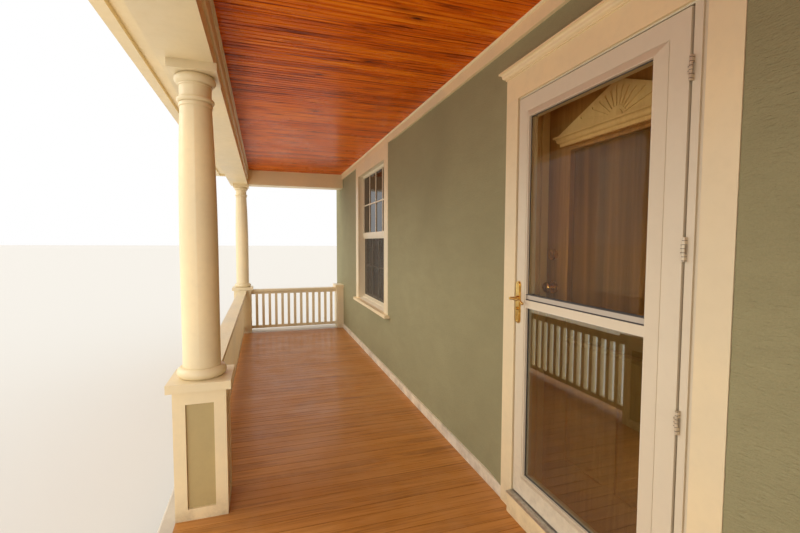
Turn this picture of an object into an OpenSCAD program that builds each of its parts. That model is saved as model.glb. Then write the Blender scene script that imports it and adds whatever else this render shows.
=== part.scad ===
// Front porch of a one-storey house, with the strip of house wall behind it.
// X runs along the front, the yard is at -Y, the house is at +Y and Z is up from the ground.
// Lengths are in millimetres. Inside at_floor() the origin is on the wall's face at floor level,
// in line with the middle of the storm door and of the steps.

/* [Layout] */
// Half the distance between the two corner columns
corner_axis = 5735; // [5400:5:6100]
// Half the distance between the two columns beside the steps
entry_axis = 1020; // [980:5:1100]
// Distance from the wall's face to the line of the columns
column_line = 1605; // [1500:5:1800]
// Height of the porch floor above the ground
floor_height = 360; // [330:5:400]
// Thickness of the house wall
wall_thickness = 250; // [250:5:300]
// How far the house wall runs on past the line of the corner columns
wall_past_corner = 545; // [520:5:700]

/* [Floor and steps] */
// Thickness of the floor boards
floor_board = 30; // [25:1:38]
// How far the floor runs out past the face of the pedestals
floor_edge = 77; // [50:1:90]
// Thickness of the foundation wall under the floor's edge
foundation_thickness = 200; // [150:10:250]
// How far the floor's edge stands out over the foundation
floor_nosing = 25; // [15:5:35]
// Half the width of the step
step_half_width = 1000; // [900:10:1100]
// Depth of the step's tread from front to back
tread_depth = 300; // [280:5:340]
// Thickness of the step's tread
tread_board = 40; // [30:2:50]
// Thickness of the boards that carry the tread
step_board = 38; // [30:2:45]

/* [Pedestals and columns] */
// Width of a pedestal's square body
pedestal_width = 256; // [240:4:280]
// Height of a pedestal with its cap
pedestal_height = 730; // [680:5:760]
// Width of a pedestal's cap
cap_width = 308; // [300:4:340]
// Thickness of a pedestal's cap
cap_thickness = 44; // [34:2:50]
// Width of the panel in a pedestal's side
panel_width = 136; // [120:2:150]
// Width of the board below a pedestal's panel
panel_foot = 61; // [50:1:80]
// Width of the board above a pedestal's panel
panel_head = 70; // [50:2:80]
// Depth of the recess that the panel lies in
panel_recess = 18; // [14:1:24]
// Thickness of the panel
panel_board = 6; // [4:1:8]
// Radius of a column's shaft at its foot
shaft_foot_radius = 94.5; // [88:0.5:98]
// Radius of a column's shaft at its neck
shaft_neck_radius = 78; // [74:0.5:84]
// Share of the shaft's height that stays straight before it draws in
shaft_straight = 0.45; // [0.3:0.05:0.6]
// Radius of the round ring at a column's foot
base_radius = 124; // [118:1:130]
// Height of the round ring at a column's foot
base_ring_height = 56; // [50:2:64]
// Width of the square slab on top of a column
abacus_width = 232; // [224:2:250]
// Height of that slab
abacus_height = 43; // [36:1:50]

/* [Railings] */
// Gap between the railing's top and the underside of the pedestals' caps
rail_below_cap = 2; // [1:1:30]
// Width of the flat top board
rail_board_width = 120; // [110:5:140]
// Thickness of the flat top board
rail_board = 34; // [28:2:40]
// Width of a baluster
baluster_width = 40; // [34:1:44]
// Number of balusters in one side of the front railing
front_balusters = 44; // [40:1:48]
// Number of balusters in one end railing
end_balusters = 13; // [11:1:15]
// Height of the gap under the bottom rail
rail_gap = 50; // [40:5:80]
// Depth of the lower rails
rail_depth = 42; // [38:2:50]

/* [Beams, ceiling and eaves] */
// Width of the beams
beam_width = 258; // [240:2:280]
// How far the beams' middle lies outside the line of the columns
beam_shift = 28; // [0:2:40]
// Height of a beam below the ceiling
beam_drop = 224; // [200:4:250]
// Gap between the door head and the board under the ceiling
head_gap = 138; // [120:2:200]
// Width of the board between wall and ceiling
ceiling_trim_height = 80; // [60:5:100]
// Height of the board at the foot of the wall
base_trim_height = 72; // [60:2:90]
// How far the eaves stand out past the beams
eave_overhang = 246; // [220:2:300]
// Height of the board along the eaves
fascia_height = 160; // [140:5:190]
// Thickness of the board along the eaves
fascia_board = 66; // [40:2:80]
// Rise of the roof for each unit of run
roof_slope = 0.333; // [0.3:0.001:0.4]
// Thickness of the roof, measured straight up
roof_thickness = 60; // [50:5:80]

/* [Windows] */
// Distance from the door's middle to a window's middle
window_axis = 3675; // [3500:5:3800]
// Width of a window's opening in the wall
window_width = 1360; // [1240:10:1400]
// Height of a window's opening in the wall
window_height = 1720; // [1600:10:1800]
// Width of the boards around a window
window_casing = 150; // [120:5:160]
// Height of the board over a window, up to the board under the ceiling
window_head_board = 146; // [120:2:160]
// How far the boards around a window stand over its opening
casing_lap = 20; // [5:1:25]
// Width of a sash's side and outer rails
sash_bar = 36; // [30:1:50]
// Height of the rails where the two sashes meet
meeting_rail = 64; // [40:2:70]
// Width of the bars between the panes
bar_width = 16; // [12:1:22]
// Panes across one sash
panes_across = 4; // [3:1:4]

/* [Door openings] */
// How far the doorway's middle lies to the hinge side of the storm door's middle
door_shift = 26; // [20:1:30]
// Thickness of the storm door's frame behind the boards beside the door
frame_side = 14; // [12:1:20]
// Width of the boards beside the door
door_casing_width = 104; // [90:2:120]
// Thickness of the boards around doors and windows
casing_board = 20; // [16:1:22]
// Height of the flat board over the door
frieze_height = 120; // [100:2:130]
// Height of the crown moulding over the door
head_crown_height = 45; // [42:1:55]
// How far that moulding stands out past the casing
head_crown_reach = 34; // [28:1:36]

/* [Storm door] */
// Half the width of the storm door
storm_half_width = 458; // [454:1:459]
// Height of the storm door's foot above the floor
storm_bottom = 123; // [110:1:135]
// Height of the storm door
storm_height = 2057; // [2000:1:2100]
// Thickness of the storm door
storm_thickness = 32; // [28:1:34]
// Width of the storm door's side bars, up to the glass
storm_stile = 113; // [100:1:125]
// Height of the storm door's bottom bar, up to the glass
storm_bottom_bar = 134; // [120:2:160]
// Height of the storm door's top bar, down to the glass
storm_top_bar = 112; // [100:2:130]
// Height of the storm door's middle bar above its foot
storm_middle = 1002; // [960:2:1040]
// Height of the storm door's middle bar
storm_middle_bar = 40; // [34:2:60]
// Width of the bevelled moulding around the glass
moulding_width = 40; // [30:1:50]
// Height of that moulding above the door's face
moulding_rise = 20; // [14:1:22]
// Height of the lever above the storm door's foot
lever_height = 1040; // [1000:5:1080]
// Angle of the storm door for viewing
storm_angle = 0; // [0:5:100]

/* [Inner door] */
// How much narrower half the inner door is than half the storm door
inner_narrower = 1; // [0:1:8]
// How much lower the inner door is than the storm door
inner_shorter = 25; // [23:1:60]
// Thickness of the inner door
inner_thickness = 45; // [40:1:45]
// Distance from the wall's face back to the inner door's face
inner_recess = 160; // [150:1:180]
// How far the inner door's middle lies to the hinge side of the storm door's middle
inner_middle = 20; // [18:1:24]
// Half the width of the inner door's glass
lite_half = 285; // [250:5:290]
// Height of the inner door's glass
lite_height = 920; // [860:5:960]
// Distance from the inner door's top down to its glass
lite_below_top = 257; // [250:1:270]
// Half the length of the pediment over the glass
pediment_half = 355; // [340:5:365]
// Height of the pediment above its cornice
pediment_rise = 162; // [140:2:166]
// Angle of the inner door for viewing
inner_angle = 0; // [0:5:95]

/* [Hidden] */
$fn = 48;
clear = 7;
storm_top = storm_bottom + storm_height;
threshold_top = storm_bottom - clear;
threshold_board = 7;
sill_top = threshold_top - threshold_board;
doorway_top = storm_top + 31;
head_lip = 6;
casing_top = storm_top + clear + head_lip;
casing_inner = storm_half_width + clear + door_shift;
casing_outer = casing_inner + door_casing_width;
doorway_half_width = casing_inner + frame_side;
inner_half_width = storm_half_width - inner_narrower;
inner_height = storm_height - inner_shorter;
head_top = casing_top + frieze_height + head_crown_height;
trim_bottom = head_top + head_gap;
ceiling_height = trim_bottom + ceiling_trim_height;
ceiling_board = 18;

deck_front = column_line + pedestal_width/2 + floor_edge;
deck_end = corner_axis + pedestal_width/2 + floor_edge;
wall_end = corner_axis + wall_past_corner;
beam_outer_x = corner_axis + beam_shift + beam_width/2;
beam_outer_d = column_line + beam_shift + beam_width/2;
beam_inner_x = beam_outer_x - beam_width;
beam_inner_d = beam_outer_d - beam_width;
beam_bottom = ceiling_height - beam_drop;
beam_top = ceiling_height + 24;
soffit_bottom = ceiling_height - 21;
soffit_board = 15;
eave_x = beam_outer_x + eave_overhang;
eave_d = beam_outer_d + eave_overhang;
fascia_bottom = soffit_bottom - 25;
fascia_top = fascia_bottom + fascia_height;
roof_drip = 30;
roof_seat = 0.3;
roof_edge = fascia_top - roof_drip*roof_slope;
parapet = 110;
wall_top = fascia_top + eave_d*roof_slope + roof_thickness + parapet;
depth_out = max(deck_front + tread_depth, eave_d + roof_drip);
wall_y = (depth_out - wall_thickness)/2;

// Moves the children to the wall's face at floor level
module at_floor() {
    translate([0, wall_y, floor_height])
        children();
}

// Box between two corners
module block(low, high) {
    translate(low)
        cube(high - low);
}

// The same on the left and on the right
module both_sides() {
    children();
    mirror([1, 0, 0])
        children();
}

// Extrudes a profile drawn as (distance from the wall, height) along X
module along_x(x_low, x_high) {
    translate([x_low, 0, 0])
        rotate([90, 0, 90])
            linear_extrude(x_high - x_low)
                mirror([1, 0])
                    children();
}

// Puts the children at the foot of each of the four columns
module at_columns() {
    for (x = [-corner_axis, -entry_axis, entry_axis, corner_axis])
        translate([x, -column_line, 0])
            children();
}

// S-shaped moulding profile that rises as far as it reaches out
module cyma(run) {
    intersection() {
        translate([0, run/2])
            circle(run/2);
        square([run/2, run/2]);
    }
    difference() {
        translate([0, run/2])
            square([run, run/2]);
        translate([run, run/2])
            circle(run/2);
    }
}

// Crown profile in front of a board: a step, an S-curve and a lip on top
module crown_outline(board, height, reach, step, lip) {
    run = reach - step;
    square([board, height]);
    square([board + step, height - lip]);
    translate([board + step, height - lip - run])
        cyma(run);
    translate([0, height - lip])
        square([board + reach, lip]);
}

// Crown with its ends mitred back to the plane y = 0
module mitred_crown(half, board, height, reach, step, lip) {
    intersection() {
        along_x(-half - reach - 1, half + reach + 1)
            crown_outline(board, height, reach, step, lip);
        rotate([90, 0, 0])
            linear_extrude(board + reach)
                both_sides() {
                    square([half, height]);
                    translate([half - board, 0])
                        crown_outline(board, height, reach, step, lip);
                }
    }
}

// Field that stands out by rise from the plane y = 0, with four sides that slope in by run
module raised_field(half, low, high, run, rise) {
    intersection() {
        translate([0, 0, low])
            linear_extrude(high - low)
                polygon([[-half, 0], [-half + run, -rise], [half - run, -rise], [half, 0]]);
        along_x(-half, half)
            polygon([[0, low], [rise, low + run], [rise, high - run], [0, high]]);
    }
}

module foundation() {
    inner = foundation_thickness + floor_nosing;
    color("Silver")
        at_floor()
            difference() {
                block([-deck_end + floor_nosing, -deck_front + floor_nosing, -floor_height],
                      [deck_end - floor_nosing, 0, -floor_board]);
                block([-deck_end + inner, -deck_front + inner, -floor_height - 1],
                      [deck_end - inner, 1, 1]);
            }
}
foundation();

module house_base() {
    color("Gray")
        at_floor()
            block([-wall_end, 0, -floor_height], [wall_end, wall_thickness, -floor_board]);
}
house_base();

inner_deck_end = deck_end - floor_edge - pedestal_width;
inner_deck_front = deck_front - floor_edge;

module floor_deck() {
    color("Sienna")
        at_floor()
            block([-inner_deck_end, -inner_deck_front, -floor_board], [inner_deck_end, 0, 0]);
}
floor_deck();

// Board profile from x = 0 with a half-round nose that ends at reach, top at y = 0
module nosed_board(reach, board) {
    translate([0, -board])
        square([reach - board/2, board]);
    translate([reach - board/2, -board/2])
        circle(board/2);
}

module floor_border() {
    color("LightGray")
        at_floor()
            difference() {
                intersection() {
                    along_x(-deck_end, deck_end)
                        nosed_board(deck_front, floor_board);
                    rotate([90, 0, 0])
                        linear_extrude(deck_front)
                            both_sides()
                                nosed_board(deck_end, floor_board);
                }
                block([-inner_deck_end, -inner_deck_front, -floor_board - 1], [inner_deck_end, 1, 1]);
            }
}
floor_border();

step_rise = floor_height/2;
tread_nosing = 25;
tread_side = 20;

module step_base() {
    base_x = step_half_width - tread_side;
    base_d = depth_tread - tread_nosing;
    color("LightGray")
        at_floor()
            difference() {
                block([-base_x, -base_d, -floor_height],
                      [base_x, -deck_front + floor_nosing, -step_rise - tread_board]);
                block([-base_x + step_board, -base_d + step_board, -floor_height - 1],
                      [base_x - step_board, 0, 1]);
            }
}
step_base();

depth_tread = deck_front + tread_depth;

module step_tread() {
    color("Sienna")
        at_floor()
            translate([0, 0, -step_rise])
                intersection() {
                    along_x(-step_half_width, step_half_width)
                        nosed_board(depth_tread, tread_board);
                    block([-step_half_width, -depth_tread - 1, -tread_board - 1],
                          [step_half_width, -deck_front + floor_nosing, 1]);
                }
}
step_tread();

panel_top = pedestal_height - cap_thickness - panel_head;

// Shape that a pedestal's panel takes up in the side facing angle 0, which is -Y
module panel_space(depth_low, depth_high) {
    block([-panel_width/2, -pedestal_width/2 + depth_low, panel_foot],
          [panel_width/2, -pedestal_width/2 + depth_high, panel_top]);
}

// Turns the children to each panelled side of the four pedestals
module at_panels() {
    for (side = [-1, 1]) {
        for (turn = [0, -side*90, 180])
            translate([side*entry_axis, -column_line, 0])
                rotate(turn)
                    children();
        for (turn = [0, side*90])
            translate([side*corner_axis, -column_line, 0])
                rotate(turn)
                    children();
    }
}

module pedestals() {
    color("Cornsilk")
        at_floor()
            difference() {
                at_columns()
                    block([-pedestal_width/2, -pedestal_width/2, 0],
                          [pedestal_width/2, pedestal_width/2, pedestal_height - cap_thickness]);
                at_panels()
                    panel_space(-1, panel_recess);
            }
}
pedestals();

module pedestal_panels() {
    color("DarkKhaki")
        at_floor()
            at_panels()
                panel_space(panel_recess - panel_board, panel_recess);
}
pedestal_panels();

module pedestal_caps() {
    color("Cornsilk")
        at_floor()
            at_columns()
                block([-cap_width/2, -cap_width/2, pedestal_height - cap_thickness],
                      [cap_width/2, cap_width/2, pedestal_height]);
}
pedestal_caps();

wall_pedestal_depth = 112;
cap_lip = (cap_width - pedestal_width)/2;

module wall_pedestals() {
    color("Cornsilk")
        at_floor()
            both_sides()
                translate([corner_axis, 0, 0]) {
                    block([-pedestal_width/2, -wall_pedestal_depth, 0],
                          [pedestal_width/2, 0, pedestal_height - cap_thickness]);
                    block([-cap_width/2, -wall_pedestal_depth - cap_lip, pedestal_height - cap_thickness],
                          [cap_width/2, 0, pedestal_height]);
                }
}
wall_pedestals();

ring_radius = base_ring_height/2;
ring_flat = 2;

module column_bases() {
    color("Cornsilk")
        at_floor()
            at_columns()
                translate([0, 0, pedestal_height])
                    rotate_extrude() {
                        square([base_radius - ring_radius, base_ring_height]);
                        intersection() {
                            translate([base_radius - ring_radius - ring_flat, ring_radius])
                                circle(ring_radius + ring_flat);
                            square([base_radius, base_ring_height]);
                        }
                    }
}
column_bases();

shaft_bottom = pedestal_height + base_ring_height;
neck_ring_height = 16;
neck_ring_reach = 4.5;
bead_radius = 13;
bead_height = 34;
neck_bottom = 47;
neck_height = 58;
echinus_step = 8;
echinus_height = 54;
echinus_radius = 24.5;
echinus_inset = 2;
abacus_bottom = beam_bottom - abacus_height;
capital_bottom = abacus_bottom - echinus_height - neck_height - neck_bottom;
shaft_length = capital_bottom - shaft_bottom;
shaft_bands = 9;

// Radius of the shaft at a share of its height: straight at first, then drawn in along a curve
function shaft_radius(share) =
    share < shaft_straight ? shaft_foot_radius
    : shaft_foot_radius - (shaft_foot_radius - shaft_neck_radius)
      *pow((share - shaft_straight)/(1 - shaft_straight), 2);

module column_shafts() {
    shares = [for (i = [0:shaft_bands]) shaft_straight + (1 - shaft_straight)*i/shaft_bands];
    color("Cornsilk")
        at_floor()
            at_columns()
                translate([0, 0, shaft_bottom])
                    rotate_extrude()
                        polygon(concat(
                            [[0, 0], [shaft_foot_radius, 0]],
                            [for (share = shares) [shaft_radius(share), share*shaft_length]],
                            [[0, shaft_length]]));
}
column_shafts();

module column_capitals() {
    color("Cornsilk")
        at_floor()
            at_columns()
                translate([0, 0, capital_bottom]) {
                    rotate_extrude() {
                        square([shaft_neck_radius, neck_bottom + neck_height]);
                        square([shaft_neck_radius + neck_ring_reach, neck_ring_height]);
                        translate([shaft_neck_radius + 1, bead_height])
                            circle(bead_radius);
                        translate([0, neck_bottom + neck_height]) {
                            square([shaft_neck_radius + neck_ring_reach, echinus_step]);
                            square([shaft_neck_radius - echinus_inset, echinus_height]);
                            intersection() {
                                translate([shaft_neck_radius - echinus_inset,
                                           echinus_step + echinus_radius])
                                    circle(echinus_radius);
                                translate([0, echinus_step])
                                    square([shaft_neck_radius + echinus_radius,
                                            echinus_height - echinus_step]);
                            }
                        }
                    }
                    translate([0, 0, abacus_bottom - capital_bottom])
                        block([-abacus_width/2, -abacus_width/2, 0],
                              [abacus_width/2, abacus_width/2, abacus_height]);
                }
}
column_capitals();

rail_top = pedestal_height - cap_thickness - rail_below_cap;

// One straight railing panel, from x = 0 to x = span
module railing_panel(span, balusters) {
    pitch = (span - balusters*baluster_width)/(balusters + 1) + baluster_width;
    block([0, -rail_board_width/2, rail_top - rail_board],
          [span, rail_board_width/2, rail_top]);
    block([0, -rail_depth/2, rail_top - rail_board - rail_depth],
          [span, rail_depth/2, rail_top - rail_board]);
    block([0, -rail_depth/2, rail_gap],
          [span, rail_depth/2, rail_gap + rail_depth]);
    for (i = [1:balusters])
        translate([i*pitch - baluster_width, 0, 0])
            block([0, -baluster_width/2, rail_gap + rail_depth],
                  [baluster_width, baluster_width/2, rail_top - rail_board - rail_depth]);
}

module railing_front() {
    color("Cornsilk")
        at_floor()
            both_sides()
                translate([entry_axis + pedestal_width/2, -column_line, 0])
                    railing_panel(corner_axis - entry_axis - pedestal_width, front_balusters);
}
railing_front();

module railing_end() {
    color("Cornsilk")
        at_floor()
            both_sides()
                translate([corner_axis, -wall_pedestal_depth, 0])
                    rotate(-90)
                        railing_panel(column_line - pedestal_width/2 - wall_pedestal_depth, end_balusters);
}
railing_end();

module beams() {
    color("Cornsilk")
        at_floor()
            difference() {
                block([-beam_outer_x, -beam_outer_d, beam_bottom], [beam_outer_x, 0, beam_top]);
                block([-beam_inner_x, -beam_inner_d, beam_bottom - 1],
                      [beam_inner_x, 1, beam_top + 1]);
            }
}
beams();

crown_drop = 141;
crown_reach = 21;
crown_board = 8;
crown_lip = 10;
crown_bead = 7;
crown_quirk = 2;

module beam_crown() {
    run = crown_reach - crown_board;
    color("Cornsilk")
        at_floor()
            along_x(-beam_inner_x, beam_inner_x)
                translate([beam_inner_d, ceiling_height])
                    mirror([1, 0]) {
                        translate([0, -crown_drop])
                            square([crown_board, crown_drop]);
                        translate([crown_board, crown_quirk + crown_bead - crown_drop])
                            circle(crown_bead);
                        translate([crown_board, -crown_lip - run])
                            cyma(run);
                        translate([0, -crown_lip])
                            square([crown_reach, crown_lip]);
                    }
}
beam_crown();

module ceiling() {
    color("Peru")
        at_floor()
            block([-beam_inner_x, -beam_inner_d, ceiling_height],
                  [beam_inner_x, 0, ceiling_height + ceiling_board]);
}
ceiling();

trim_board = 20;
trim_round = 12;

module ceiling_trim() {
    color("Cornsilk")
        at_floor()
            along_x(-beam_inner_x, beam_inner_x)
                translate([0, trim_bottom]) {
                    square([trim_board, ceiling_trim_height]);
                    translate([trim_board, ceiling_trim_height - trim_round])
                        intersection() {
                            translate([0, trim_round])
                                circle(trim_round);
                            square([trim_round, trim_round]);
                        }
                }
}
ceiling_trim();

base_board = 15;

// Board at the foot of the wall
module base_run(start) {
    along_x(start, corner_axis - pedestal_width/2)
        square([base_board, base_trim_height]);
}

module base_trim() {
    color("Cornsilk")
        at_floor() {
            base_run(casing_outer + door_shift);
            mirror([1, 0, 0])
                base_run(casing_outer - door_shift);
        }
}
base_trim();

module eave_soffit() {
    color("Cornsilk")
        at_floor()
            difference() {
                block([-eave_x + fascia_board, -eave_d + fascia_board, soffit_bottom],
                      [eave_x - fascia_board, 0, soffit_bottom + soffit_board]);
                block([-beam_outer_x, -beam_outer_d, soffit_bottom - 1],
                      [beam_outer_x, 1, soffit_bottom + soffit_board + 1]);
            }
}
eave_soffit();

// Everything below the roof plane lifted by rise, set in from the roof's edge by inset
module under_roof(rise, bottom, inset, behind) {
    x_edge = eave_x + roof_drip - inset;
    d_edge = eave_d + roof_drip - inset;
    start = roof_edge + rise + inset*roof_slope;
    intersection() {
        along_x(-x_edge, x_edge)
            polygon([[-behind, bottom], [d_edge, bottom], [d_edge, start],
                     [-behind, start + (d_edge + behind)*roof_slope]]);
        translate([0, behind, 0])
            rotate([90, 0, 0])
                linear_extrude(d_edge + behind)
                    polygon([[-x_edge, bottom], [x_edge, bottom], [x_edge, start],
                             [0, start + x_edge*roof_slope], [-x_edge, start]]);
    }
}

module fascia() {
    color("Cornsilk")
        at_floor()
            intersection() {
                difference() {
                    block([-eave_x, -eave_d, fascia_bottom], [eave_x, 0, fascia_top + 100]);
                    block([-eave_x + fascia_board, -eave_d + fascia_board, fascia_bottom - 1],
                          [eave_x - fascia_board, 1, fascia_top + 101]);
                }
                under_roof(-roof_seat, fascia_bottom - 10, 0, 1);
            }
}
fascia();

module roof() {
    color("DimGray")
        at_floor()
            difference() {
                under_roof(roof_thickness, roof_edge, 0, 0);
                under_roof(0, roof_edge - 20, roof_drip, 40);
            }
}
roof();

window_top = trim_bottom - window_head_board + casing_lap;
window_bottom = window_top - window_height;
window_left = window_axis - window_width/2;
window_right = window_axis + window_width/2;

// Wall on the side of +X that starts beside the doorway
module wall_side(start) {
    difference() {
        block([start, 0, -floor_board], [wall_end, wall_thickness, wall_top]);
        block([window_left, -1, window_bottom], [window_right, wall_thickness + 1, window_top]);
    }
}

module wall_left() {
    color("DarkKhaki")
        at_floor()
            mirror([1, 0, 0])
                wall_side(doorway_half_width - door_shift);
}
wall_left();

module wall_right() {
    color("DarkKhaki")
        at_floor()
            wall_side(doorway_half_width + door_shift);
}
wall_right();

module wall_over_door() {
    color("DarkKhaki")
        at_floor()
            translate([door_shift, 0, 0])
                block([-doorway_half_width, 0, doorway_top],
                      [doorway_half_width, wall_thickness, wall_top]);
}
wall_over_door();

window_outer = window_width/2 - casing_lap + window_casing;
sill_board = 36;
sill_reach = 60;
sill_horn = 15;
sill_high = window_bottom + sill_board/2;

module window_casings() {
    color("Cornsilk")
        at_floor()
            both_sides()
                difference() {
                    block([window_axis - window_outer, -casing_board, sill_high],
                          [window_axis + window_outer, 0, trim_bottom]);
                    block([window_left + casing_lap, -casing_board - 1, sill_high - 1],
                          [window_right - casing_lap, 1, window_top - casing_lap]);
                }
}
window_casings();

module window_sills() {
    color("Cornsilk")
        at_floor()
            both_sides()
                block([window_axis - window_outer - sill_horn, -sill_reach, sill_high - sill_board],
                      [window_axis + window_outer + sill_horn, 0, sill_high]);
}
window_sills();

jamb_board = 14;
frame_depth = 150;
sill_rise = 60;
sill_front_rise = 20;
track_board = 3;
track_height = 14;
pane_glass = 5;
sash_board = 35;
bar_setback = 8;
upper_sash_y = 50;
lower_sash_y = upper_sash_y + sash_board;
sash_bottom = window_bottom + sill_rise;
sash_top = window_top - jamb_board;
meeting_lift = 15;
sash_middle = (sash_bottom + sash_top)/2 + meeting_lift;
sash_left = window_left + jamb_board;
sash_right = window_right - jamb_board;
pane_left = sash_left + sash_bar;
pane_right = sash_right - sash_bar;

// Frame of one sash with its bars; foot and head are the heights of its bottom and top rails
module sash(low, high, foot, head, y) {
    pane = (pane_right - pane_left)/panes_across;
    middle = (low + foot + high - head)/2;
    bar_back = y + sash_board/2;
    difference() {
        block([sash_left, y, low], [sash_right, y + sash_board, high]);
        block([pane_left, y - 1, low + foot], [pane_right, y + sash_board + 1, high - head]);
    }
    for (i = [1:panes_across - 1])
        block([pane_left + i*pane - bar_width/2, y + bar_setback, low + foot],
              [pane_left + i*pane + bar_width/2, bar_back, high - head]);
    block([pane_left, y + bar_setback, middle - bar_width/2],
          [pane_right, bar_back, middle + bar_width/2]);
}

// Sloping foot of the window's frame with the ribs of the empty outer track
module window_foot() {
    along_x(window_left, window_right)
        translate([0, window_bottom]) {
            polygon([[0, 0], [0, sill_front_rise], [-lower_sash_y, sill_rise],
                     [-frame_depth, sill_rise], [-frame_depth, 0]]);
            for (i = [1:3])
                translate([-lower_sash_y + i*upper_sash_y/4, sill_front_rise])
                    square([track_board, sill_rise - sill_front_rise - 4*i + track_height/2]);
        }
}

module window_sashes() {
    color("White")
        at_floor()
            both_sides() {
                difference() {
                    block([window_left, 0, window_bottom], [window_right, frame_depth, window_top]);
                    block([sash_left, -1, window_bottom - 1], [sash_right, frame_depth + 1, sash_top]);
                }
                window_foot();
                sash(sash_middle - meeting_rail/2, sash_top, meeting_rail, sash_bar, upper_sash_y);
                sash(sash_bottom, sash_middle + meeting_rail/2, sash_bar, meeting_rail, lower_sash_y);
            }
}
window_sashes();

// Pane behind the bars of one sash
module sash_pane(low, high, y) {
    block([pane_left, y + sash_board/2, low], [pane_right, y + sash_board/2 + pane_glass, high]);
}

module window_glass() {
    color("LightBlue")
        at_floor()
            both_sides() {
                sash_pane(sash_middle + meeting_rail/2, sash_top - sash_bar, upper_sash_y);
                sash_pane(sash_bottom + sash_bar, sash_middle - meeting_rail/2, lower_sash_y);
            }
}
window_glass();

module door_casing() {
    color("Cornsilk")
        at_floor()
            translate([door_shift, 0, 0])
                both_sides()
                    block([casing_inner, -casing_board, 0], [casing_outer, 0, casing_top]);
}
door_casing();

head_crown_step = 6;
head_crown_lip = 9;

module door_head() {
    color("Cornsilk")
        at_floor()
            translate([door_shift, 0, casing_top]) {
                block([-casing_outer, -casing_board, 0], [casing_outer, 0, frieze_height]);
                translate([0, 0, frieze_height])
                    mitred_crown(casing_outer, casing_board, head_crown_height,
                                 head_crown_reach, head_crown_step, head_crown_lip);
            }
}
door_head();

frame_lip = 7;
frame_inner = storm_half_width + clear;
storm_front = 12;
storm_back = storm_thickness - storm_front;
frame_back = storm_back + clear;
inner_front = inner_recess;
inner_back = inner_front + inner_thickness;
inner_bottom = storm_bottom + 2;
inner_top = inner_bottom + inner_height;
sill_front = 45;
sill_back = inner_back + 15;
threshold_front = sill_front + 7;

module door_sill() {
    color("Cornsilk")
        at_floor()
            translate([door_shift, 0, 0]) {
                block([-doorway_half_width, 0, -floor_board], [doorway_half_width, sill_back, sill_top]);
                block([-casing_inner, -sill_front, 0], [casing_inner, 0, sill_top]);
            }
}
door_sill();

groove_width = 3;
groove_depth = 2;
groove_pitch = 10;

module threshold() {
    color("Silver")
        at_floor()
            translate([door_shift, 0, sill_top]) {
                block([-doorway_half_width, 0, 0], [doorway_half_width, sill_back, threshold_board]);
                along_x(-casing_inner, casing_inner)
                    difference() {
                        polygon([[0, 0], [threshold_front, 0], [threshold_front, threshold_board/2],
                                 [threshold_front - 12, threshold_board], [0, threshold_board]]);
                        for (i = [1:3])
                            translate([i*groove_pitch, threshold_board - groove_depth])
                                square([groove_width, groove_depth + 1]);
                    }
            }
}
threshold();

jamb_gap = 8;
jamb_inner = inner_half_width + jamb_gap;
jamb_back = inner_back - 1;
stop_width = 14;
stop_depth = 40;
stop_gap = 6;

module door_jamb() {
    color("SaddleBrown")
        at_floor() {
            difference() {
                block([door_shift - doorway_half_width, frame_back, threshold_top],
                      [door_shift + doorway_half_width, jamb_back, doorway_top]);
                block([inner_middle - jamb_inner, frame_back - 1, threshold_top - 1],
                      [inner_middle + jamb_inner, jamb_back + 1, inner_top + jamb_gap]);
            }
            translate([inner_middle, inner_front - stop_gap - stop_depth, 0])
                difference() {
                    block([-jamb_inner, 0, threshold_top], [jamb_inner, stop_depth, inner_top + jamb_gap]);
                    block([-jamb_inner + stop_width, -1, threshold_top - 1],
                          [jamb_inner - stop_width, stop_depth + 1, inner_top + jamb_gap - stop_width]);
                }
        }
}
door_jamb();

z_bar_width = 27;

module storm_frame() {
    color("White")
        at_floor()
            difference() {
                union() {
                    block([door_shift - doorway_half_width, 0, threshold_top],
                          [door_shift + doorway_half_width, frame_back, doorway_top]);
                    block([frame_inner, -frame_lip, threshold_top],
                          [frame_inner + z_bar_width, 0, casing_top]);
                    block([door_shift - casing_inner, -frame_lip, storm_top + clear],
                          [door_shift + casing_inner, 0, casing_top]);
                }
                block([-frame_inner, -frame_lip - 1, threshold_top - 1],
                      [frame_inner, frame_back + 1, storm_top + clear]);
            }
}
storm_frame();

knuckle_radius = 5;
pin_radius = 2.5;
pin_gap = 0.3;
hinge_seat = 3;
storm_axis = [storm_half_width + knuckle_radius + 4, -storm_front - 2*hinge_seat];
inner_axis = [inner_middle + inner_half_width + 4, inner_back + 6];

// Carries the children with the storm door
module on_storm_door() {
    at_floor()
        translate([storm_axis[0], storm_axis[1], 0])
            rotate(storm_angle)
                translate([-storm_axis[0], -storm_axis[1], 0])
                    children();
}

// Carries the children with the inner door
module on_inner_door() {
    at_floor()
        translate([inner_axis[0], inner_axis[1], 0])
            rotate(-inner_angle)
                translate([inner_middle - inner_axis[0], -inner_axis[1], 0])
                    children();
}

glass_half = storm_half_width - storm_stile;
lower_glass_bottom = storm_bottom + storm_bottom_bar;
lower_glass_top = storm_bottom + storm_middle;
sash_strip = 28;
sash_strip_drop = 8;
upper_sash_low = lower_glass_top + storm_middle_bar;
upper_glass_bottom = upper_sash_low + sash_strip;
upper_glass_top = storm_top - storm_top_bar;
moulding_half = glass_half + moulding_width;
moulding_low = lower_glass_bottom - moulding_width;
moulding_high = upper_glass_top + moulding_width;
score_width = 3;
score_depth = 2;

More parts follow.
